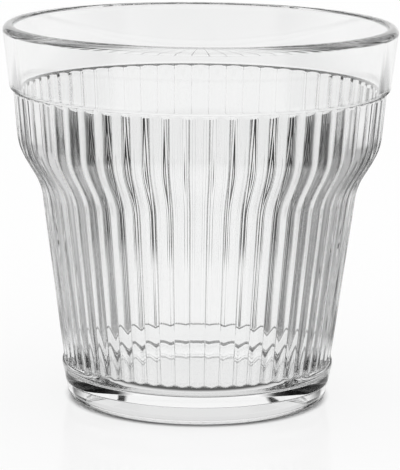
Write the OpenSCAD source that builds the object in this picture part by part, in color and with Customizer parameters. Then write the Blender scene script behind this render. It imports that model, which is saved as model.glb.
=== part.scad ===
// Clear plastic tumbler: smooth rim band, reeded wall with an S shoulder, beaded foot
// All sizes in millimetres, axis on Z, resting face at Z = 0

/* [Rim band] */
// Outside diameter across the rim
rim_d = 90; // [86:1:96]
// Overall height, table to rim
height = 86.7; // [84:0.1:94]
// Wall thickness at the rim
rim_wall = 2.3; // [2.3:0.1:3]
// Rounding of the outer rim edge
rim_round_out = 1.6; // [1:0.1:1.6]
// Rounding of the inner rim edge
rim_round_in = 0.6; // [0.3:0.1:0.6]
// Height of the smooth band below the rim
band_h = 14.9; // [12:0.1:18]
// Lean of the band from upright, degrees
band_draft = 6.8; // [5:0.1:8]
// Rounding of the lip under the band
lip_round = 1; // [0.6:0.1:1.2]
// How far the band stands out over the reed crests
lip_step = 0.8; // [0.6:0.1:1]

/* [Reeded wall] */
// Number of reeds round the wall
reed_count = 60; // [48:2:64]
// Depth of the valleys between reeds, at the top of the wall
reed_depth = 0.47; // [0.3:0.01:0.8]
// Share of half a reed that the rounded valley takes
valley_share = 0.4; // [0.2:0.05:0.6]
// Wall thickness at the reed crests, upper part
wall_top = 1.6; // [1.4:0.1:2.4]
// Wall thickness at the reed crests, where the wall meets the base
wall_base = 1.8; // [1.6:0.1:2.6]
// Height of the upright part between band and shoulder
upper_h = 10.9; // [8:0.1:14]
// Lean of the upper part, degrees
upper_draft = 5; // [3:0.1:7]
// Height of the S shoulder
shoulder_h = 12.9; // [10:0.1:16]
// How far the shoulder steps in
shoulder_step = 5.65; // [4:0.05:6.5]
// Lean of the wall below the shoulder, degrees
lower_draft = 7.4; // [6:0.1:8.5]

/* [Base] */
// Height above the table where the inside of the wall meets the base
base_h = 10.6; // [10.2:0.1:12]
// Top of the inside floor above the table
floor_z = 6.4; // [6:0.1:6.6]
// Thickness of the floor
floor_t = 2.4; // [2:0.1:3]
// Rounding between the inside wall and the floor
floor_round = 4.2; // [3.5:0.1:4.4]
// Flat left between that rounding and the edge of the floor disc
floor_margin = 1; // [0.5:0.1:2]
// How far the bead stands out from the reed crests
bead_out = 0.25; // [0.2:0.05:0.6]
// Rounding over the top of the foot, the bead
bead_round = 2; // [1.8:0.1:2.6]
// Height of the bead centre below that level
bead_drop = 2.5; // [2.3:0.1:2.8]
// Lean of the foot, degrees
foot_draft = 12; // [8:0.5:13]
// Rounding at the bottom of the foot
foot_round = 2.4; // [1.6:0.1:2.6]
// Width of the flat ring that rests on the table
rest_w = 1.8; // [1:0.1:2.2]
// Height of the bevel inside the resting ring
bevel_h = 0.8; // [0.4:0.1:1.2]
// Diameter of the gate dimple under the floor
gate_d = 6; // [4:0.5:8]
// Depth of the gate dimple
gate_depth = 0.2; // [0.2:0.1:0.6]
// Diameter of the gate stub inside the dimple
gate_stub_d = 1.8; // [1.2:0.1:2.4]

/* [Hidden] */
// Straight facets across one reed
reed_facets = 6;
// Rings along the S shoulder
shoulder_rings = 8;
// Steps along each rounded corner of the revolved parts
arc_steps = 8;
// How far cutters pass beyond the part
over = 5;
$fn = 128;

// Rim band levels and radii
rim_r = rim_d / 2;
lip_z = height - band_h;
band_slope = tan(band_draft);
rim_cr = rim_r - rim_round_out;
rim_cz = height - rim_round_out;
band_k = rim_cr * cos(band_draft) - rim_cz * sin(band_draft) + rim_round_out;
lip_r = (band_k + lip_z * sin(band_draft)) / cos(band_draft);
lip_cz = lip_z + lip_round;
lip_cr = (band_k - lip_round + lip_cz * sin(band_draft)) / cos(band_draft);

// Reed crest levels and radii
crest_top = lip_r - lip_step;
upper_slope = tan(upper_draft);
lower_slope = tan(lower_draft);
shoulder_top_z = lip_z - upper_h;
shoulder_low_z = shoulder_top_z - shoulder_h;
crest_upper = crest_top - upper_slope * upper_h;
crest_lower = crest_upper - shoulder_step;
crest_base = crest_lower - lower_slope * (shoulder_low_z - base_h);
reed_share = reed_depth / crest_top;

// Inside of the wall at the two joints
in_lip = crest_top - wall_top;
in_rim = rim_r - rim_wall;
in_base = crest_base - wall_base;

// Foot levels and radii
bead_r = crest_base + bead_out;
bead_cr = bead_r - bead_round;
bead_cz = base_h - bead_drop;
bead_top_a = acos(1 - bead_out / bead_round);
// Sloped face where the wall stands on the base, from the inside out to the bead
join_r = bead_cr + bead_round * cos(bead_top_a);
join_z = bead_cz + bead_round * sin(bead_top_a);
join_slope = (join_z - base_h) / (join_r - in_base);
foot_k = bead_cr * cos(foot_draft) - bead_cz * sin(foot_draft) + bead_round;
foot_cr = (foot_k - foot_round + foot_round * sin(foot_draft)) / cos(foot_draft);
rest_in_r = foot_cr - rest_w;
recess_r = rest_in_r - bevel_h;
recess_z = floor_z - floor_t;

// Corner between inside wall and floor
in_draft = lower_draft;
in_k = in_base * cos(in_draft) - base_h * sin(in_draft);
round_cz = floor_z + floor_round;
round_cr = (in_k - floor_round + round_cz * sin(in_draft)) / cos(in_draft);
floor_r = round_cr - floor_margin;

// Blend from 0 to 1 with given end slopes, for the S shoulder
function blend(t, r0, r1, m0, m1) =
    (2 * pow(t, 3) - 3 * pow(t, 2) + 1) * r0
    + (pow(t, 3) - 2 * pow(t, 2) + t) * m0
    + (3 * pow(t, 2) - 2 * pow(t, 3)) * r1
    + (pow(t, 3) - pow(t, 2)) * m1;

// Radius of the reed crests at height z
function crest(z) =
    z >= shoulder_top_z ? crest_top - upper_slope * (lip_z - z)
    : z >= shoulder_low_z ? blend((z - shoulder_low_z) / shoulder_h,
        crest_lower, crest_upper, lower_slope * shoulder_h, upper_slope * shoulder_h)
    : crest_lower - lower_slope * (shoulder_low_z - z);

// Wall thickness at height z, from the base up to the shoulder and then constant
function wall(z) =
    z >= shoulder_low_z ? wall_top
    : wall_base + (wall_top - wall_base) * (z - base_h) / (shoulder_low_z - base_h);

// Lean of the crest line at height z, as run over rise
function lean(z) =
    z >= shoulder_top_z || z <= shoulder_low_z ? 0
    : (crest(z + shoulder_h / 100) - crest(z - shoulder_h / 100)) / (shoulder_h / 50);

// Radius of the inside at height z, the wall measured square to its lean on the shoulder
function inside(z) = crest(z) - wall(z) * sqrt(1 + pow(lean(z), 2));

// Points on an arc about [cr, cz]
function arc(cr, cz, rad, from, to) =
    [for (i = [0 : arc_steps]) let (a = from + (to - from) * i / arc_steps)
        [cr + rad * cos(a), cz + rad * sin(a)]];

// Levels along the reeded wall, base to lip
reed_levels = concat([base_h],
    [for (i = [0 : shoulder_rings]) shoulder_low_z + shoulder_h * i / shoulder_rings],
    [lip_z]);
// The same levels for the reeded solid, which runs past both ends before it is cut to length
blank_levels = concat([base_h - over],
    [for (i = [1 : len(reed_levels) - 2]) reed_levels[i]],
    [lip_z + over]);
columns = reed_count * reed_facets;
// Place of column k across its reed, 0 at the crest and 1 at either valley
function across(k) = abs(2 * (k % reed_facets) / reed_facets - 1);
// Dip at that place, an arch that runs into a rounded valley
arch_end = 1 - valley_share;
function dip(p) =
    p <= arch_end ? pow(p, 2) / arch_end
    : arch_end + 2 * (p - arch_end) - pow(p - arch_end, 2) / valley_share;
// Share of the crest radius at column k
function reed(k) = 1 - reed_share * dip(across(k));
// Angle of column k, a crest facing the front
function reed_angle(k) = -90 + 360 * (k - reed_facets / 2) / columns;

// Smooth band with the rounded rim and the rounded lip under it
module rim_band() {
    color([0.92, 0.95, 0.96, 0.45])
    rotate_extrude()
    polygon(concat(
        [[in_lip, lip_z]],
        arc(lip_cr, lip_cz, lip_round, -90, -band_draft),
        arc(rim_cr, rim_cz, rim_round_out, -band_draft, 90),
        arc(in_rim + rim_round_in, height - rim_round_in, rim_round_in, 90, 180)));
}

// Solid with the reeds on its outside, longer than the wall
module reed_blank() {
    rings = len(blank_levels);
    polyhedron(
        points = [for (z = blank_levels) for (k = [0 : columns - 1])
            [crest(z) * reed(k) * cos(reed_angle(k)), crest(z) * reed(k) * sin(reed_angle(k)), z]],
        faces = concat(
            [[for (k = [0 : columns - 1]) k]],
            [for (i = [0 : rings - 2]) for (k = [0 : columns - 1]) let (n = (k + 1) % columns)
                [i * columns + k, (i + 1) * columns + k, (i + 1) * columns + n, i * columns + n]],
            [[for (k = [columns - 1 : -1 : 0]) (rings - 1) * columns + k]]),
        convexity = 10);
}

// Ring between the inside of the wall and well outside the reeds, cut to the wall's height
module wall_ring() {
    clear_r = rim_r + over;
    rotate_extrude()
    polygon(concat(
        [for (z = reed_levels) [inside(z), z]],
        [[clear_r, lip_z], [clear_r, base_h + join_slope * (clear_r - in_base)]]));
}

// Reeded wall: upright part, S shoulder and tapered lower part
module reeded_wall() {
    color([0.90, 0.94, 0.95, 0.45])
    intersection() {
        reed_blank();
        wall_ring();
    }
}

// Foot with its bead, resting ring and rounded inside corner
module foot_ring() {
    color([0.90, 0.93, 0.95, 0.45])
    rotate_extrude()
    polygon(concat(
        [[floor_r, recess_z], [recess_r, recess_z], [recess_r, bevel_h], [rest_in_r, 0]],
        arc(foot_cr, foot_round, foot_round, -90, -foot_draft),
        arc(bead_cr, bead_cz, bead_round, -foot_draft, bead_top_a),
        [[in_base, base_h]],
        arc(round_cr, round_cz, floor_round, -in_draft, -90),
        [[floor_r, floor_z]]));
}

// Floor disc with the gate dimple and its stub underneath
module floor_disc() {
    color([0.91, 0.94, 0.96, 0.45])
    rotate_extrude()
    polygon([
        [0, recess_z],
        [gate_stub_d / 2, recess_z],
        [gate_stub_d / 2, recess_z + gate_depth],
        [gate_d / 2, recess_z + gate_depth],
        [gate_d / 2, recess_z],
        [floor_r, recess_z],
        [floor_r, floor_z],
        [0, floor_z]]);
}

rim_band();
reeded_wall();
foot_ring();
floor_disc();
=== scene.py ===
"""Looks of a clear moulded tumbler: seamless reeded shell, clear plastic, studio and camera."""
import logging
import math
from dataclasses import dataclass, field
from enum import Enum
from typing import Any, Iterable, Optional, Sequence, Union

import bpy
import numpy as np
from mathutils import Euler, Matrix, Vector


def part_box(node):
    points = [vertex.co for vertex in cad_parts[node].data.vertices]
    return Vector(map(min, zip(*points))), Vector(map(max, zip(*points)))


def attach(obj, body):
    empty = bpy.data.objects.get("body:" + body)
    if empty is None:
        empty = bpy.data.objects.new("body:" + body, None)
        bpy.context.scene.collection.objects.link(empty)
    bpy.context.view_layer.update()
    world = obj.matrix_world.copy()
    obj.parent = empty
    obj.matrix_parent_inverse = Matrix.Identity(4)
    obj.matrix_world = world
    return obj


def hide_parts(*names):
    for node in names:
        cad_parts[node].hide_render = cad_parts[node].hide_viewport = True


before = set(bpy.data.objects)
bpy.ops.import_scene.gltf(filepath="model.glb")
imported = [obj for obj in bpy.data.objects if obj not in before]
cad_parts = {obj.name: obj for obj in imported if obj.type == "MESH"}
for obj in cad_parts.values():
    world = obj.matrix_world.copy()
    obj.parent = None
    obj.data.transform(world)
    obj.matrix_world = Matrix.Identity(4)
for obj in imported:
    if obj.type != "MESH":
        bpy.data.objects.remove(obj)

LOG = logging.getLogger("tumbler")
MM = 0.001
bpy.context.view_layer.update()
PHOTO_SIZE = (400, 470)
# Length or area that counts as none, in mm or square mm
TINY = 1e-12
# Radius round the axis within which sides and directions blend
AXIS_GAP = 0.001


def cosine(degrees: float) -> float:
    """Cosine of an angle in degrees."""
    return math.cos(math.radians(degrees))


def sine(degrees: float) -> float:
    """Sine of an angle in degrees."""
    return math.sin(math.radians(degrees))


def smooth(share: Any) -> Any:
    """Eases a share from 0 to 1, for numbers and arrays."""
    return share**2 * (3 - 2 * share)


def levels(start: float, end: float, steps: int) -> list[float]:
    """Even heights from start, which is left out, to end."""
    return list(np.linspace(start, end, steps + 1)[1:])


class Zone(Enum):
    """Zones of the moulding, named as the nodes that they stand for."""

    RIM_BAND = "rim_band"
    REEDED_WALL = "reeded_wall"
    FOOT_RING = "foot_ring"
    FLOOR_DISC = "floor_disc"


class Op(Enum):
    """Operations of the Math node that the shader expressions use."""

    ADD = "ADD"
    SUBTRACT = "SUBTRACT"
    MULTIPLY = "MULTIPLY"
    DIVIDE = "DIVIDE"
    POWER = "POWER"
    MAXIMUM = "MAXIMUM"


Operand = Union["Sock", float]
# Two values between which a soft edge runs
Edge = tuple[float, float]


class Sock:
    """An output socket that takes part in Python expressions."""

    def __init__(self, graph: "Graph", socket: bpy.types.NodeSocket) -> None:
        """Wraps a socket of a graph."""
        self.graph = graph
        self.socket = socket

    def __add__(self, other: Operand) -> "Sock":
        """Sum."""
        return self.graph.math(Op.ADD, self, other)

    def __radd__(self, other: Operand) -> "Sock":
        """Sum with the number first."""
        return self.graph.math(Op.ADD, other, self)

    def __sub__(self, other: Operand) -> "Sock":
        """Difference."""
        return self.graph.math(Op.SUBTRACT, self, other)

    def __rsub__(self, other: Operand) -> "Sock":
        """Difference with the number first."""
        return self.graph.math(Op.SUBTRACT, other, self)

    def __mul__(self, other: Operand) -> "Sock":
        """Product."""
        return self.graph.math(Op.MULTIPLY, self, other)

    def __rmul__(self, other: Operand) -> "Sock":
        """Product with the number first."""
        return self.graph.math(Op.MULTIPLY, other, self)

    def __truediv__(self, other: Operand) -> "Sock":
        """Quotient."""
        return self.graph.math(Op.DIVIDE, self, other)

    def __pow__(self, other: Operand) -> "Sock":
        """Power."""
        return self.graph.math(Op.POWER, self, other)

    def at_least(self, other: Operand) -> "Sock":
        """Larger of the two values."""
        return self.graph.math(Op.MAXIMUM, self, other)

    def ramp(self, low: float, high: float) -> "Sock":
        """Smooth step from 0 at low to 1 at high.

        Args:
            low: value where the step starts.
            high: value where it ends, which may be the smaller one.

        Returns:
            The stepped value.
        """
        return self.graph.node(
            "ShaderNodeMapRange",
            {"interpolation_type": "SMOOTHSTEP"},
            {"Value": self, "From Min": low, "From Max": high},
        )["Result"]

    def turn(self, edge: Edge) -> "Sock":
        """Smooth step across directions in degrees, where this value is a direction's cosine."""
        return self.ramp(cosine(edge[0]), cosine(edge[1]))

    def climb(self, edge: Edge) -> "Sock":
        """Smooth step up elevations in degrees, where this value is an elevation's sine."""
        return self.ramp(sine(edge[0]), sine(edge[1]))


class Outputs:
    """Outputs of a node by name, as expression sockets."""

    def __init__(self, graph: "Graph", made: bpy.types.Node) -> None:
        """Keeps the graph and the node."""
        self.graph = graph
        self.made = made

    def __getitem__(self, name: Union[str, int]) -> Sock:
        """Output socket of that name or number."""
        return Sock(self.graph, self.made.outputs[name])


class Graph:
    """A node tree that is written as expressions."""

    def __init__(self, tree: bpy.types.NodeTree) -> None:
        """Starts from an emptied tree."""
        self.tree = tree
        tree.nodes.clear()

    def node(
        self,
        kind: str,
        settings: Optional[dict[str, Any]] = None,
        inputs: Optional[dict[Union[str, int], Any]] = None,
    ) -> Outputs:
        """Adds a node.

        Args:
            kind: Blender's type name of the node.
            settings: properties to set first.
            inputs: values or links by socket name or number.

        Returns:
            The node's outputs.
        """
        made = self.tree.nodes.new(kind)
        for name, value in (settings or {}).items():
            setattr(made, name, value)
        for name, value in (inputs or {}).items():
            socket = made.inputs[name]
            if isinstance(value, Sock):
                self.tree.links.new(value.socket, socket)
            else:
                socket.default_value = value
        return Outputs(self, made)

    def math(self, operation: Op, first: Operand, second: Operand) -> Sock:
        """Adds a Math node and gives its value."""
        inputs = {0: first, 1: second}
        return self.node("ShaderNodeMath", {"operation": operation.value}, inputs)["Value"]

    def plan(self, vector: Sock) -> tuple[Outputs, Sock]:
        """Gives the parts of a place or a direction, and its length seen from above."""
        parts = self.node("ShaderNodeSeparateXYZ", {}, {0: vector})
        return parts, (parts["X"] ** 2.0 + parts["Y"] ** 2.0) ** 0.5

    def noise(self, place: Sock, scale: float, detail: float = 2.0) -> Sock:
        """Noise of about 0.5 at a place, with the scale in spots per metre and the detail in octaves."""
        inputs = {"Vector": place, "Scale": scale, "Detail": detail}
        return self.node("ShaderNodeTexNoise", {}, inputs)["Fac"]

    def blend(self, factor: Operand, first: Any, second: Any) -> Sock:
        """Mixes two colours, where the factor is the share of the second."""
        mix = self.node("ShaderNodeMix", {"data_type": "RGBA"}, {0: factor, 6: first, 7: second})
        return mix[2]


def new_material(name: str) -> tuple[bpy.types.Material, Graph]:
    """Makes an empty node material.

    Args:
        name: its name.

    Returns:
        The material and its graph.
    """
    made = bpy.data.materials.new(name)
    made.use_nodes = True
    return made, Graph(made.node_tree)


@dataclass(frozen=True)
class ClearPlastic:
    """Finish of the glass: water-white plastic from a polished mould.

    Attributes:
        name: name of the material.
        tint: colour that a surface passes on, a clean patch.
        tint_aged: the same where the plastic is a little hazy.
        ior: refractive index.
        polish: roughness of the polished surface.
        haze: extra roughness in hazy patches.
        scuff: extra roughness on the ring that slides on tables.
        scuff_even: share of the scuff that is there between scratches.
        scuff_height: height above the table up to which it is scuffed, mm.
        flow_depth: height of the flow ripple, metres.
        flow_stretch: scale of the ripple along the axis, against across it.
        patch_scale: hazy patches per metre.
        flow_scale: ripples per metre.
        scratch_scale: scratches per metre.
        patch_edge: noise values between which a patch sets in.
        scratch_edge: noise values between which a scratch sets in.
    """

    name: str = "clear_plastic"
    tint: tuple[float, float, float] = (0.995, 0.997, 0.996)
    tint_aged: tuple[float, float, float] = (0.985, 0.988, 0.988)
    ior: float = 1.49
    polish: float = 0.004
    haze: float = 0.012
    scuff: float = 0.22
    scuff_even: float = 0.35
    scuff_height: float = 1.4
    flow_depth: float = 0.00002
    flow_stretch: float = 0.25
    patch_scale: float = 70.0
    flow_scale: float = 45.0
    scratch_scale: float = 2600.0
    patch_edge: Edge = (0.45, 0.7)
    scratch_edge: Edge = (0.52, 0.62)

    def material(self) -> bpy.types.Material:
        """Makes the node material.

        Returns:
            The finished material.
        """
        made, graph = new_material(self.name)
        place = graph.node("ShaderNodeTexCoord")["Object"]
        height = graph.node("ShaderNodeSeparateXYZ", {}, {0: place})["Z"]
        patches = graph.noise(place, self.patch_scale, detail=3.0).ramp(*self.patch_edge)
        along = (1.0, 1.0, self.flow_stretch)
        stretch = graph.node("ShaderNodeMapping", {}, {"Vector": place, "Scale": along})["Vector"]
        flow = graph.noise(stretch, self.flow_scale, detail=1.5)
        scratches = graph.noise(place, self.scratch_scale).ramp(*self.scratch_edge)
        worn = height.ramp(self.scuff_height * MM, 0.0)
        scuffed = self.scuff * (self.scuff_even + (1.0 - self.scuff_even) * scratches)
        rough = self.polish + self.haze * patches + worn * scuffed
        colour = graph.blend(patches, (*self.tint, 1.0), (*self.tint_aged, 1.0))
        bump = {"Strength": 1.0, "Distance": self.flow_depth, "Height": flow}
        ripple = graph.node("ShaderNodeBump", {}, bump)
        shader = graph.node(
            "ShaderNodeBsdfPrincipled",
            {},
            {
                "Base Color": colour,
                "Roughness": rough,
                "IOR": self.ior,
                "Transmission Weight": 1.0,
                "Normal": ripple["Normal"],
            },
        )
        graph.node("ShaderNodeOutputMaterial", {}, {"Surface": shader["BSDF"]})
        return made


@dataclass(frozen=True)
class Ring:
    """One ring of the lathe.

    Attributes:
        r: radius, of the reed crests where there are reeds, mm.
        z: height, mm.
        reed: share of the full reed depth, 0 for a plain ring.
        bead: radius of the bead that the reeds run into, mm.
    """

    r: float
    z: float
    reed: float = 0.0
    bead: float = 0.0


def arc(cr: float, cz: float, rad: float, start: float, end: float, steps: int) -> list[Ring]:
    """Plain rings along an arc of the profile.

    Args:
        cr: radius of the arc's centre, mm.
        cz: height of the arc's centre, mm.
        rad: radius of the arc, mm.
        start: first angle, degrees from outward.
        end: last angle, degrees.
        steps: stretches between the rings.

    Returns:
        The rings, both ends included.
    """
    angles = (math.radians(start + (end - start) * i / steps) for i in range(steps + 1))
    return [Ring(cr + rad * math.cos(a), cz + rad * math.sin(a)) for a in angles]


@dataclass
class Tumbler:
    """The moulded glass: sizes in mm.

    They are those of the part's source, apart from the crease along the valleys, the soft ends of the
    reeds, the eased ends of the shoulder, the small roundings under the foot and the gate dimple, which is
    shallower and softer here.

    Attributes:
        rim_wall: wall at the rim.
        rim_round_out: rounding of the outer rim edge.
        rim_round_in: rounding of the inner rim edge.
        band_draft: lean of the band, degrees.
        lip_round: rounding of the lip under the band.
        lip_step: how far the band stands out over the reed crests.
        reed_count: reeds round the wall.
        reed_depth: depth of the valleys at the top of the wall.
        reed_end: height over which the valleys run out under the lip.
        valley_share: share of half a reed that the rounded valley takes.
        crease_share: share of half a reed that the crease along the valley takes.
        crease_depth: depth of that crease.
        crease_steps: columns on each side of it.
        wall_top: wall at the crests, upper part.
        wall_base: wall at the crests, at the base.
        upper_h: height of the upright part.
        upper_draft: lean of the upright part, degrees.
        shoulder_h: height of the S shoulder.
        shoulder_step: how far the shoulder steps in.
        shoulder_ease: height over which its ends ease into the straight wall.
        lower_draft: lean below the shoulder, degrees.
        floor_z: top of the floor.
        floor_t: thickness of the floor.
        floor_round: rounding between wall and floor.
        floor_margin: flat between that rounding and the floor disc.
        bead_out: how far the bead stands out from the crests.
        bead_round: rounding over the top of the foot.
        bead_drop: bead centre below the level where the inside wall meets the base.
        bead_blend: width over which reeds melt into the bead.
        bead_melt: height above the bead centre down to which reeds are left in it.
        bead_plain: angle on the bead where its plain rings start, degrees.
        foot_draft: lean of the foot, degrees.
        foot_round: rounding at the bottom of the foot.
        rest_w: width of the resting ring.
        bevel_h: height of the bevel inside it.
        bevel: lean of that bevel, degrees.
        gate_r: radius of the gate dimple.
        gate_soft: half the width of its soft edge.
        gate_depth: depth of the gate dimple.
        stub_r: radius of the gate stub.
        stub_soft: half the width of its soft edge.
        stub_share: share of the dimple's depth that the stub fills.
        edge_round: small rounding of moulded inner edges under the foot.
        column_steps: columns across one reed.
        finish: finish of the plastic.
    """

    rim_wall: float = 2.3
    rim_round_out: float = 1.6
    rim_round_in: float = 0.6
    band_draft: float = 6.8
    lip_round: float = 1.0
    lip_step: float = 0.8
    reed_count: int = 60
    reed_depth: float = 0.47
    reed_end: float = 0.9
    valley_share: float = 0.4
    crease_share: float = 0.075
    crease_depth: float = 0.125
    crease_steps: int = 3
    wall_top: float = 1.6
    wall_base: float = 1.8
    upper_h: float = 10.9
    upper_draft: float = 5.0
    shoulder_h: float = 12.9
    shoulder_step: float = 5.65
    shoulder_ease: float = 1.5
    lower_draft: float = 7.4
    floor_z: float = 6.4
    floor_t: float = 2.4
    floor_round: float = 4.2
    floor_margin: float = 1.0
    bead_out: float = 0.25
    bead_round: float = 2.0
    bead_drop: float = 2.5
    bead_blend: float = 0.06
    bead_melt: float = 0.4
    bead_plain: float = 8.0
    foot_draft: float = 12.0
    foot_round: float = 2.4
    rest_w: float = 1.8
    bevel_h: float = 0.8
    bevel: float = 45.0
    gate_r: float = 3.0
    gate_soft: float = 0.6
    gate_depth: float = 0.004
    stub_r: float = 0.9
    stub_soft: float = 0.4
    stub_share: float = 0.8
    edge_round: float = 0.25
    column_steps: int = 16
    finish: ClearPlastic = field(default_factory=ClearPlastic)

    def __post_init__(self) -> None:
        """Works out levels and radii from the frame and the sizes."""
        low, high = (Vector(corner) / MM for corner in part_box(Zone.RIM_BAND.value))
        self.rim_r = 0.5 * (high.x - low.x)
        self.height = high.z
        self.lip_z = low.z
        self.base_h = Vector(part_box(Zone.FOOT_RING.value)[1]).z / MM
        draft = math.radians(self.band_draft)
        self.rim_cr = self.rim_r - self.rim_round_out
        self.rim_cz = self.height - self.rim_round_out
        offset = self.rim_cr * math.cos(draft) - self.rim_cz * math.sin(draft) + self.rim_round_out
        lip_r = (offset + self.lip_z * math.sin(draft)) / math.cos(draft)
        self.lip_cz = self.lip_z + self.lip_round
        self.lip_cr = (offset - self.lip_round + self.lip_cz * math.sin(draft)) / math.cos(draft)
        self.crest_top = lip_r - self.lip_step
        self.shoulder_top = self.lip_z - self.upper_h
        self.shoulder_low = self.shoulder_top - self.shoulder_h
        self.ease_top = self.shoulder_top + self.shoulder_ease
        self.ease_low = self.shoulder_low - self.shoulder_ease
        self.upper_slope = math.tan(math.radians(self.upper_draft))
        self.lower_slope = math.tan(math.radians(self.lower_draft))
        self.crest_upper = self.crest_top - self.upper_slope * self.upper_h
        self.crest_lower = self.crest_upper - self.shoulder_step
        self.crest_base = self.crest(self.base_h)
        self.in_rim = self.rim_r - self.rim_wall
        self.in_base = self.crest_base - self.wall_base
        self._levels_of_foot()

    def _levels_of_foot(self) -> None:
        """Works out the foot's levels and radii."""
        draft = math.radians(self.foot_draft)
        self.bead_cr = self.crest_base + self.bead_out - self.bead_round
        self.bead_cz = self.base_h - self.bead_drop
        self.join_z = self.bead_cz + math.sqrt(self.bead_out * (2 * self.bead_round - self.bead_out))
        offset = self.bead_cr * math.cos(draft) - self.bead_cz * math.sin(draft) + self.bead_round
        self.foot_cr = (offset - self.foot_round + self.foot_round * math.sin(draft)) / math.cos(draft)
        self.rest_in = self.foot_cr - self.rest_w
        self.recess_r = self.rest_in - self.bevel_h
        self.recess_z = self.floor_z - self.floor_t
        lean = math.radians(self.lower_draft)
        inner = self.in_base * math.cos(lean) - self.base_h * math.sin(lean)
        self.round_cz = self.floor_z + self.floor_round
        self.round_cr = (inner - self.floor_round + self.round_cz * math.sin(lean)) / math.cos(lean)
        self.floor_r = self.round_cr - self.floor_margin

    def crest(self, z: float) -> float:
        """Radius of the reed crests at a height.

        Args:
            z: height, mm.

        Returns:
            The radius, mm.
        """
        upper = self.crest_top - self.upper_slope * (self.lip_z - z)
        lower = self.crest_lower - self.lower_slope * (self.shoulder_low - z)
        return lower + (upper - lower) * self.shoulder_share(z)

    def shoulder_share(self, z: float) -> float:
        """Share of the upper wall line at a height, eased in and out over the S shoulder.

        Args:
            z: height, mm.

        Returns:
            The share, from 0 below the shoulder to 1 above it.
        """
        t = (z - self.ease_low) / (self.ease_top - self.ease_low)
        t = min(max(t, 0.0), 1.0)
        return t**3 * (10 - 15 * t + 6 * t**2)

    def inside(self, z: float) -> float:
        """Radius of the inside wall at a height.

        Args:
            z: height, mm.

        Returns:
            The radius, mm.
        """
        if z >= self.shoulder_low:
            wall = self.wall_top
        else:
            share = (z - self.base_h) / (self.shoulder_low - self.base_h)
            wall = self.wall_base + (self.wall_top - self.wall_base) * share
        step = self.shoulder_h / 100
        slope = (self.crest(z + step) - self.crest(z - step)) / (2 * step)
        straight = self.lower_slope + (self.upper_slope - self.lower_slope) * self.shoulder_share(z)
        lean = (math.hypot(1.0, slope) - 1.0) * (1.0 - straight / slope)
        return self.crest(z) - wall * (1.0 + lean)

    def bead(self, z: float) -> float:
        """Radius of the bead over the foot at a height.

        Args:
            z: height, mm.

        Returns:
            The radius, mm, or 0 above the bead.
        """
        rise = z - self.bead_cz
        if rise >= self.bead_round:
            return 0.0
        return self.bead_cr + math.sqrt(self.bead_round**2 - rise**2)

    def reed_columns(self) -> np.ndarray:
        """Places of the columns across one reed.

        Returns:
            Values from -1 at one valley up to, but not at, 1 at the next, closer near the valleys.
        """
        half = self.column_steps // 2 - self.crease_steps
        arch = np.linspace(0.0, 1.0 - self.crease_share, half + 1)[:-1]
        crease = np.linspace(1.0 - self.crease_share, 1.0, self.crease_steps + 1)
        side = np.concatenate([arch, crease])
        return np.concatenate([-side[::-1], side[1:-1]])

    def reed_dip(self, across: np.ndarray) -> np.ndarray:
        """Dip of the surface across a reed, an arch with a rounded, creased valley.

        Args:
            across: place across the reed, -1 and 1 at the valleys.

        Returns:
            Dip from 0 at the crest to 1 at the valley, and past 1 in its crease.
        """
        start = 1.0 - self.valley_share
        place = np.abs(across)
        past = np.clip(place - start, 0.0, None)
        bottom = start**2 + start * self.valley_share
        dip = np.minimum(place, start) ** 2 + 2 * start * (past - past**2 / (2 * self.valley_share))
        near = np.clip((place - 1.0) / self.crease_share + 1.0, 0.0, 1.0)
        return dip / bottom + self.crease_depth / self.reed_depth * smooth(near)

    def outer_levels(self) -> list[Ring]:
        """Rings of the reeded outside, lip to bead.

        Returns:
            Rings from just under the lip down to the joint with the foot.
        """
        top = self.lip_cz - math.sqrt(self.lip_round**2 - (self.crest_top - self.lip_cr) ** 2)
        ends = [top] + levels(top, top - self.reed_end, steps=8)
        upper = levels(ends[-1], self.ease_top, steps=2)
        shoulder = levels(self.ease_top, self.ease_low, steps=34)
        lower = levels(self.ease_low, self.base_h, steps=4)
        bottom = levels(self.base_h, self.join_z, steps=10)
        rings = []
        for z in ends + upper + shoulder + lower + bottom:
            share = min(max((top - z) / self.reed_end, 0.0), 1.0)
            reed = math.sqrt(max(1.0 - (1.0 - share) ** 2, 0.0))
            rings.append(Ring(self.crest(z), z, reed, self.bead(z)))
        return rings

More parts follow.
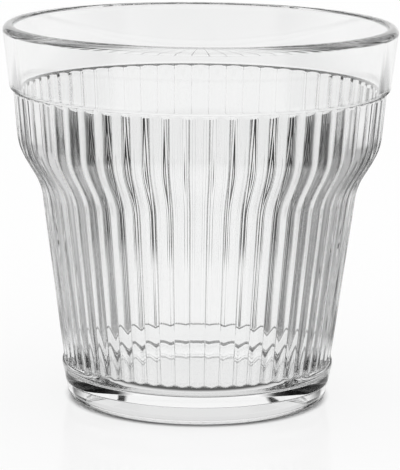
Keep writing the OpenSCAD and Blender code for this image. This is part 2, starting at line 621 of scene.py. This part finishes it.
    def strips(self) -> dict[Zone, list[list[Ring]]]:
        """Profile of the whole moulding, cut into the strips of each zone.

        Returns:
            For each zone its strips of rings. All strips in order run from the middle of the floor's top,
            up the inside, over the rim, down the outside and under the foot to the middle of its underside.
        """
        draft = self.band_draft
        corner = arc(self.round_cr, self.round_cz, self.floor_round, -90, -self.lower_draft, steps=14)
        heights = [self.base_h] + levels(self.base_h, self.ease_low, steps=3)
        heights += levels(self.ease_low, self.ease_top, steps=34)
        heights += levels(self.ease_top, self.lip_z, steps=2)
        wall_in = [Ring(self.inside(z), z) for z in heights]
        round_in = self.rim_round_in
        rim_in = arc(self.in_rim + round_in, self.height - round_in, round_in, 180 - draft, 90, steps=8)
        rim_out = arc(self.rim_cr, self.rim_cz, self.rim_round_out, 90, -draft, steps=14)
        lip_angle = -math.degrees(math.acos((self.crest_top - self.lip_cr) / self.lip_round))
        lip = arc(self.lip_cr, self.lip_cz, self.lip_round, -draft, lip_angle, steps=10)
        reeds = self.outer_levels()
        melts = [self.join_z] + levels(self.join_z, self.bead_cz + self.bead_melt, steps=5)
        melt = [Ring(self.crest(z), z, 1.0, self.bead(z)) for z in melts]
        bead = arc(self.bead_cr, self.bead_cz, self.bead_round, self.bead_plain, -self.foot_draft, steps=5)
        foot = arc(self.foot_cr, self.foot_round, self.foot_round, -self.foot_draft, -90, steps=12)
        edge = self.edge_round
        rest = arc(self.rest_in + edge, edge, edge, -90, -90 - self.bevel, steps=4)
        upright = arc(self.recess_r - edge, self.bevel_h + edge, edge, self.bevel, 0, steps=4)
        ceiling = arc(self.recess_r - edge, self.recess_z - edge, edge, 0, 90, steps=6)
        floor_top = [Ring(r, self.floor_z) for r in np.linspace(0.0, self.floor_r, 7)]
        return {
            Zone.FLOOR_DISC: [floor_top, self.underside()],
            Zone.FOOT_RING: [
                [floor_top[-1]] + corner + [wall_in[0]],
                melt + bead + foot + rest + upright + ceiling + [Ring(self.floor_r, self.recess_z)],
            ],
            Zone.REEDED_WALL: [wall_in, reeds],
            Zone.RIM_BAND: [[wall_in[-1]] + rim_in + rim_out + lip[:-1] + [reeds[0]]],
        }

    def underside(self) -> list[Ring]:
        """Rings of the underside of the floor, with the soft gate dimple and its stub.

        Returns:
            Rings from the edge of the floor disc to its middle.
        """
        rings = [Ring(self.floor_r, self.recess_z)]
        shares = np.linspace(0.0, 1.0, 9)
        for share in shares:
            radius = self.gate_r + self.gate_soft * (1 - 2 * share)
            rings.append(Ring(radius, self.recess_z + self.gate_depth * smooth(share)))
        for share in shares:
            radius = self.stub_r + self.stub_soft * (1 - 2 * share)
            left = 1 - self.stub_share * smooth(share)
            rings.append(Ring(radius, self.recess_z + self.gate_depth * left))
        return rings + [Ring(0.0, rings[-1].z)]

    def surface(self, rings: Sequence[Ring]) -> np.ndarray:
        """Points of the rings.

        Args:
            rings: rings in order along the profile.

        Returns:
            Array of rings by columns by three, mm.
        """
        across = np.tile(self.reed_columns(), self.reed_count)
        number = np.repeat(np.arange(self.reed_count), self.column_steps)
        angle = -math.pi / 2 + (number + across / 2) * 2 * math.pi / self.reed_count
        dip = self.reed_dip(across) * self.reed_depth / self.crest_top
        points = np.empty((len(rings), angle.size, 3))
        for row, ring in zip(points, rings):
            radius = ring.r * (1.0 - ring.reed * dip)
            if ring.bead:
                radius = 0.5 * (radius + ring.bead + np.hypot(radius - ring.bead, self.bead_blend))
            row[:, 0] = radius * np.cos(angle)
            row[:, 1] = radius * np.sin(angle)
            row[:, 2] = ring.z
        return points

    def normals(self, points: np.ndarray) -> np.ndarray:
        """Smooth outward normals of a grid of points.

        Args:
            points: rings by columns by three, in order along the profile.

        Returns:
            Unit normals in the same order.
        """
        along = np.empty_like(points)
        along[1:-1] = points[2:] - points[:-2]
        along[0] = points[1] - points[0]
        along[-1] = points[-1] - points[-2]
        around = np.roll(points, -1, axis=1) - np.roll(points, 1, axis=1)
        normal = np.cross(along, around)
        length = np.linalg.norm(normal, axis=2, keepdims=True)
        flat = np.zeros_like(normal)
        flat[..., 2] = 1.0
        flat[-1, :, 2] = -1.0
        return np.where(length > TINY, normal / np.maximum(length, TINY), flat)

    def build(self) -> list[bpy.types.Object]:
        """Builds the four zones, meeting edge to edge with no faces inside the plastic.

        Returns:
            The pieces, dressed and riding on the glass.
        """
        strips = self.strips()
        order = [
            (Zone.FLOOR_DISC, 0),
            (Zone.FOOT_RING, 0),
            (Zone.REEDED_WALL, 0),
            (Zone.RIM_BAND, 0),
            (Zone.REEDED_WALL, 1),
            (Zone.FOOT_RING, 1),
            (Zone.FLOOR_DISC, 1),
        ]
        whole: list[Ring] = []
        spans: dict[Zone, list[tuple[int, int]]] = {zone: [] for zone in Zone}
        for zone, number in order:
            rings = strips[zone][number]
            start = max(len(whole) - 1, 0)
            whole += rings[1:] if whole else rings
            spans[zone].append((start, len(whole)))
        points = self.surface(whole)
        normals = self.normals(points)
        plastic = self.finish.material()
        return [self._piece(zone, points, normals, spans[zone], plastic) for zone in Zone]

    def _piece(
        self,
        zone: Zone,
        points: np.ndarray,
        normals: np.ndarray,
        spans: Iterable[tuple[int, int]],
        plastic: bpy.types.Material,
    ) -> bpy.types.Object:
        """Makes the mesh of one zone.

        Args:
            zone: the zone.
            points: points of the whole profile, mm.
            normals: their normals.
            spans: first and last ring of each strip of the zone.
            plastic: material of the glass.

        Returns:
            The piece, which replaces its node.
        """
        verts: list[np.ndarray] = []
        directions: list[np.ndarray] = []
        faces: list[tuple[int, ...]] = []
        columns = points.shape[1]
        for start, end in spans:
            rows = []
            for i in range(start, end):
                pole = np.hypot(points[i, 0, 0], points[i, 0, 1]) < TINY
                first = len(verts)
                count = 1 if pole else columns
                verts.extend(points[i, :count] * MM)
                directions.extend(normals[i, :count])
                rows.append([first] * columns if pole else list(range(first, first + columns)))
            for lower, upper in zip(rows, rows[1:]):
                for j in range(columns):
                    k = (j + 1) % columns
                    corners = (lower[j], lower[k], upper[k], upper[j])
                    faces.append(tuple(reversed(tuple(dict.fromkeys(corners)))))
        mesh = bpy.data.meshes.new(zone.value + "_shell")
        mesh.from_pydata([tuple(v) for v in verts], [], faces)
        mesh.polygons.foreach_set("use_smooth", [True] * len(mesh.polygons))
        mesh.normals_split_custom_set_from_vertices([tuple(n) for n in directions])
        mesh.materials.append(plastic)
        piece = bpy.data.objects.new(zone.value + "_shell", mesh)
        bpy.context.scene.collection.objects.link(piece)
        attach(piece, "root")
        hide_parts(zone.value)
        LOG.info("%s: %d faces", piece.name, len(mesh.polygons))
        return piece


@dataclass(frozen=True)
class WhiteTable:
    """Finish of the table: a white board with a little gloss, and, as the glass shows it, a painted shadow
    round the foot and painted shade under the floor of the glass.

    Attributes:
        name: name of the material.
        colour: colour of the board.
        gloss: roughness of its surface.
        lift: share of plain white in what the camera sees, the rest keeps shadow and reflection.
        level: brightness of the board as the glass shows it.
        contact_shadow: depth of the painted shadow where the glass touches the board, as the glass shows
            it.
        under: depth of the painted shade under the floor of the glass, as the glass shows it.
        ring_out: outer edge of the painted shadow of the foot, metres from the axis.
        ring_in: its inner edge.
        lift_edge: edge where the plain white starts.
        grain: share by which fine grain varies the gloss.
        grain_scale: spots of that grain per metre.
    """

    name: str = "white_table"
    colour: tuple[float, float, float] = (0.95, 0.95, 0.95)
    gloss: float = 0.08
    lift: float = 0.78
    level: float = 0.924
    contact_shadow: float = 0.88
    under: float = 0.17
    ring_out: Edge = (0.0318, 0.0303)
    ring_in: Edge = (0.0262, 0.0278)
    lift_edge: Edge = (0.0292, 0.0312)
    grain: float = 0.2
    grain_scale: float = 900.0

    def material(self) -> bpy.types.Material:
        """Makes the node material.

        Returns:
            The finished material.
        """
        made, graph = new_material(self.name)
        place = graph.node("ShaderNodeTexCoord")["Object"]
        _, away = graph.plan(place)
        # Painted shadow: a dark ring round the foot and a paler shade under the floor of the glass, in the
        # board's brightness as the glass shows it
        shade = self.contact_shadow * away.ramp(*self.ring_out) * away.ramp(*self.ring_in)
        shade = shade.at_least(self.under * away.ramp(*reversed(self.ring_in)))
        grain = graph.noise(place, self.grain_scale)
        gloss = self.gloss * (1.0 - 0.5 * self.grain + self.grain * grain)
        board = graph.node(
            "ShaderNodeBsdfPrincipled",
            {},
            {"Base Color": (*self.colour, 1.0), "Roughness": gloss},
        )
        plain = graph.node("ShaderNodeEmission", {}, {"Color": (1.0, 1.0, 1.0, 1.0)})
        lit = graph.node("ShaderNodeEmission", {}, {"Color": self.level * (1.0 - shade)})
        path = graph.node("ShaderNodeLightPath")
        lifted = path["Is Camera Ray"] * (self.lift * away.ramp(*self.lift_edge))
        seen = graph.node("ShaderNodeMixShader", {}, {0: lifted, 1: board["BSDF"], 2: plain["Emission"]})
        through = path["Is Transmission Ray"].at_least(path["Is Glossy Ray"])
        done = graph.node("ShaderNodeMixShader", {}, {0: through, 1: seen["Shader"], 2: lit["Emission"]})
        graph.node("ShaderNodeOutputMaterial", {}, {"Surface": done["Shader"]})
        return made


@dataclass(frozen=True)
class Flag:
    """The fields of painted shade on the card on one side, placed by the direction from the axis of the
    glass.

    Directions are in degrees from straight behind and distances in metres. An edge runs from clear to full.

    Attributes:
        start: direction where the black starts.
        end: direction where it ends.
        inner: distance where it starts.
        outer: distance where it ends.
        near: density of the dark grey between the black and the glass.
        between: density of the lighter grey from there to the side.
        beside: density of the grey at the side of the glass.
        deep: density at the side where it is deepest.
        grey_start: direction where the dark and the lighter grey start.
        near_end: direction where the dark grey ends.
        between_end: direction where the lighter grey ends.
        grey_inner: distance where both start.
        grey_outer: distance where both end.
        side_start: direction where the grey at the side starts.
        side_end: direction where it ends.
        side_outer: distance where it ends.
        deep_far: distance from which it is deep.
        deep_round: direction from which it is deep at any distance.
    """

    start: Edge = (16.5, 19.0)
    end: Edge = (47.0, 43.0)
    inner: Edge = (0.12, 0.165)
    outer: Edge = (0.43, 0.37)
    near: float = 0.72
    between: float = 0.25
    beside: float = 0.5
    deep: float = 0.9
    grey_start: Edge = (24.0, 28.0)
    near_end: Edge = (58.0, 52.0)
    between_end: Edge = (130.0, 115.0)
    grey_inner: Edge = (0.05, 0.066)
    grey_outer: Edge = (0.30, 0.24)
    side_start: Edge = (70.0, 80.0)
    side_end: Edge = (140.0, 125.0)
    side_outer: Edge = (0.34, 0.28)
    deep_far: Edge = (0.17, 0.21)
    deep_round: Edge = (90.0, 100.0)

    def density(self, behind: Sock, away: Sock) -> Sock:
        """Density of the painted shade.

        Args:
            behind: cosine of the direction from straight behind.
            away: distance from the axis, metres.

        Returns:
            Density from 0 for clear to 1 for black.
        """
        black = behind.turn(self.start) * behind.turn(self.end)
        black = black * away.ramp(*self.inner) * away.ramp(*self.outer)
        greys = behind.turn(self.grey_start) * away.ramp(*self.grey_outer) * away.ramp(*self.grey_inner)
        near = self.near * greys * behind.turn(self.near_end)
        between = self.between * greys * behind.turn(self.between_end)
        deep = away.ramp(*self.deep_far).at_least(behind.turn(self.deep_round))
        beside = behind.turn(self.side_start) * behind.turn(self.side_end) * away.ramp(*self.side_outer)
        beside = beside * (self.beside + (self.deep - self.beside) * deep)
        return black.at_least(near).at_least(between).at_least(beside)


@dataclass(frozen=True)
class PaintedShadeCard:
    """Finish of the card round the glass: painted shade for the dark parts of the studio as the glass shows
    them, black that fades out to clear.

    Attributes:
        name: name of the material.
        painted_shade: colour of the painted shade.
        right: fields on the right.
        left: fields on the left.
        front: density of the painted shade in front of the glass.
        front_start: edge of that field along the line of sight, metres from the axis.
        front_inner: distance where it starts, metres.
        front_outer: distance where it ends, metres.
    """

    name: str = "painted_shade_card"
    painted_shade: tuple[float, float, float] = (0.004, 0.004, 0.004)
    right: Flag = Flag(outer=(0.45, 0.39), near=0.9, between=0.5, beside=0.66)
    left: Flag = Flag()
    front: float = 0.3
    front_start: Edge = (-0.015, -0.045)
    front_inner: Edge = (0.10, 0.22)
    front_outer: Edge = (0.31, 0.28)

    def material(self) -> bpy.types.Material:
        """Makes the node material.

        Returns:
            The finished material, clear from below.
        """
        made, graph = new_material(self.name)
        place = graph.node("ShaderNodeTexCoord")["Object"]
        parts, away = graph.plan(place)
        x, y = parts["X"], parts["Y"]
        behind = y / away.at_least(AXIS_GAP)
        right = self.right.density(behind, away) * x.ramp(-AXIS_GAP, AXIS_GAP)
        left = self.left.density(behind, away) * x.ramp(AXIS_GAP, -AXIS_GAP)
        front = self.front * y.ramp(*self.front_start)
        front = front * away.ramp(*self.front_inner) * away.ramp(*self.front_outer)
        # Painted shade: the card darkens what the glass shows of the table, and the camera never sees it
        density = right.at_least(left).at_least(front)
        below = graph.node("ShaderNodeNewGeometry")["Backfacing"]
        painted_shade = graph.node("ShaderNodeBsdfDiffuse", {}, {"Color": (*self.painted_shade, 1.0)})
        clear = graph.node("ShaderNodeBsdfTransparent")
        mixed = graph.node(
            "ShaderNodeMixShader", {}, {0: density * (1.0 - below), 1: clear["BSDF"], 2: painted_shade["BSDF"]}
        )
        graph.node("ShaderNodeOutputMaterial", {}, {"Surface": mixed["Shader"]})
        return made


@dataclass
class Studio:
    """Studio for clear ware: a white board, a card of painted shade that draws the dark edges in the glass,
    and a white surround.

    Attributes:
        table_size: side of the table top, metres.
        card_hole: radius of the hole in the card, which the glass stands in, metres.
        card_edge: radius of the card, metres.
        card_rise: height of the card above the table, metres.
        finish: finish of the table.
        card: finish of the card, its painted shade.
        level: brightness of the surround.
        side_dark: how dark the studio is at both sides, as the glass shows it.
        top_dark: the same overhead.
        front_dark: the same on the camera's side.
        side_start: direction where the sides get dark, degrees from straight behind.
        side_end: direction where they end.
        side_rise: elevation where they get dark, degrees.
        top_rise: elevation where the overhead gets dark.
        front_start: direction where the camera's side gets dark.
        front_rise: elevation where it gets dark.
        card_corners: corners round the card.
    """

    table_size: float = 6.0
    card_hole: float = 0.034
    card_edge: float = 0.9
    card_rise: float = 0.0005
    finish: WhiteTable = field(default_factory=WhiteTable)
    card: PaintedShadeCard = field(default_factory=PaintedShadeCard)
    level: float = 1.0
    side_dark: float = 1.0
    top_dark: float = 0.8
    front_dark: float = 0.95
    side_start: Edge = (18.0, 26.0)
    side_end: Edge = (150.0, 125.0)
    side_rise: Edge = (2.0, 6.0)
    top_rise: Edge = (29.0, 47.0)
    front_start: Edge = (118.0, 138.0)
    front_rise: Edge = (1.5, 9.0)
    card_corners: int = 96

    def build(self) -> None:
        """Makes the table, the card and the surround."""
        self.table()
        self.painted_shade_card()
        self.surround()

    def table(self) -> bpy.types.Object:
        """Makes the table top.

        Returns:
            The table top.
        """
        half = self.table_size / 2
        corners = [(-half, -half, 0.0), (half, -half, 0.0), (half, half, 0.0), (-half, half, 0.0)]
        return self._board("table_top", corners, [(0, 1, 2, 3)], self.finish.material())

    def painted_shade_card(self) -> bpy.types.Object:
        """Makes the card of painted shade, which only the glass shows.

        Returns:
            The card.
        """
        sides = self.card_corners
        angles = [2 * math.pi * i / sides for i in range(sides)]
        corners = [
            (radius * math.cos(a), radius * math.sin(a), self.card_rise)
            for radius in (self.card_hole, self.card_edge)
            for a in angles
        ]
        faces = [(i, sides + i, sides + (i + 1) % sides, (i + 1) % sides) for i in range(sides)]
        card = self._board("painted_shade_card", corners, faces, self.card.material())
        card.visible_camera = False
        card.visible_diffuse = False
        card.visible_shadow = False
        return card

    def _board(
        self,
        name: str,
        corners: Sequence[tuple[float, float, float]],
        faces: Sequence[tuple[int, ...]],
        finish: bpy.types.Material,
    ) -> bpy.types.Object:
        """Makes a flat thing of the stage.

        Args:
            name: its name.
            corners: its corners, metres.
            faces: its faces, facing up.
            finish: its material.

        Returns:
            The thing, left out of the part.
        """
        mesh = bpy.data.meshes.new(name)
        mesh.from_pydata(list(corners), [], list(faces))
        mesh.materials.append(finish)
        made = bpy.data.objects.new(name, mesh)
        bpy.context.scene.collection.objects.link(made)
        LOG.info("%s: stage", name)
        return made

    def surround(self) -> None:
        """Makes the surround: even white light, and for the glass a white backdrop in a dark studio."""
        world = bpy.data.worlds.new("studio")
        bpy.context.scene.world = world
        world.use_nodes = True
        graph = Graph(world.node_tree)
        facing = graph.node("ShaderNodeTexCoord")["Generated"]
        parts, across = graph.plan(facing)
        behind = parts["Y"] / across.at_least(AXIS_GAP)
        rise = parts["Z"]
        side = self.side_dark * behind.turn(self.side_start) * behind.turn(self.side_end)
        side = side * rise.climb(self.side_rise)
        top = self.top_dark * rise.climb(self.top_rise)
        front = self.front_dark * behind.turn(self.front_start) * rise.climb(self.front_rise)
        dim = self.level * (1.0 - side.at_least(top).at_least(front))
        path = graph.node("ShaderNodeLightPath")
        through = path["Is Transmission Ray"].at_least(path["Is Glossy Ray"])
        colour = graph.blend(through, (self.level, self.level, self.level, 1.0), dim)
        light = graph.node("ShaderNodeBackground", {}, {"Color": colour, "Strength": 1.0})
        graph.node("ShaderNodeOutputWorld", {}, {"Surface": light["Background"]})


@dataclass
class PhotoCamera:
    """Camera at the photo's place.

    Attributes:
        distance: from the axis of the glass, level, mm.
        height: above the table, mm.
        aside: to the right of the axis, mm.
        pitch: downward, degrees.
        roll: anticlockwise, degrees.
        focal_px: focal length in pixels of the photo.
        sensor: height of the sensor, mm.
    """

    distance: float = 600.0
    height: float = 157.8
    aside: float = 0.34
    pitch: float = 11.33
    roll: float = 0.62
    focal_px: float = 2649.3
    sensor: float = 36.0

    def build(self) -> bpy.types.Object:
        """Makes the camera and gives it to the scene.

        Returns:
            The camera.
        """
        data = bpy.data.cameras.new("photo_camera")
        data.sensor_fit = "VERTICAL"
        data.sensor_height = self.sensor
        data.lens = self.focal_px / PHOTO_SIZE[1] * self.sensor
        data.clip_start = 0.01
        data.clip_end = 50.0
        camera = bpy.data.objects.new("photo_camera", data)
        bpy.context.scene.collection.objects.link(camera)
        camera.location = Vector((self.aside, -self.distance, self.height)) * MM
        turn = Euler((math.radians(90.0 - self.pitch), 0.0, 0.0)).to_matrix()
        spin = Euler((0.0, 0.0, math.radians(self.roll))).to_matrix()
        camera.rotation_euler = (turn @ spin).to_euler()
        bpy.context.scene.camera = camera
        LOG.info("photo_camera: lens %.1f mm", data.lens)
        return camera


def light_paths() -> None:
    """Lets light pass all the walls of the glass."""
    cycles = bpy.context.scene.cycles
    cycles.max_bounces = 32
    cycles.transmission_bounces = 32
    cycles.glossy_bounces = 16
    cycles.diffuse_bounces = 4
    cycles.transparent_max_bounces = 16


def main() -> None:
    """Builds the glass, the studio and the camera."""
    logging.basicConfig(level=logging.INFO, format="%(name)s: %(message)s")
    bpy.context.scene.view_settings.view_transform = "Standard"
    light_paths()
    Tumbler().build()
    Studio().build()
    PhotoCamera().build()
    LOG.info("sizes written")


if __name__ == "__main__":
    main()
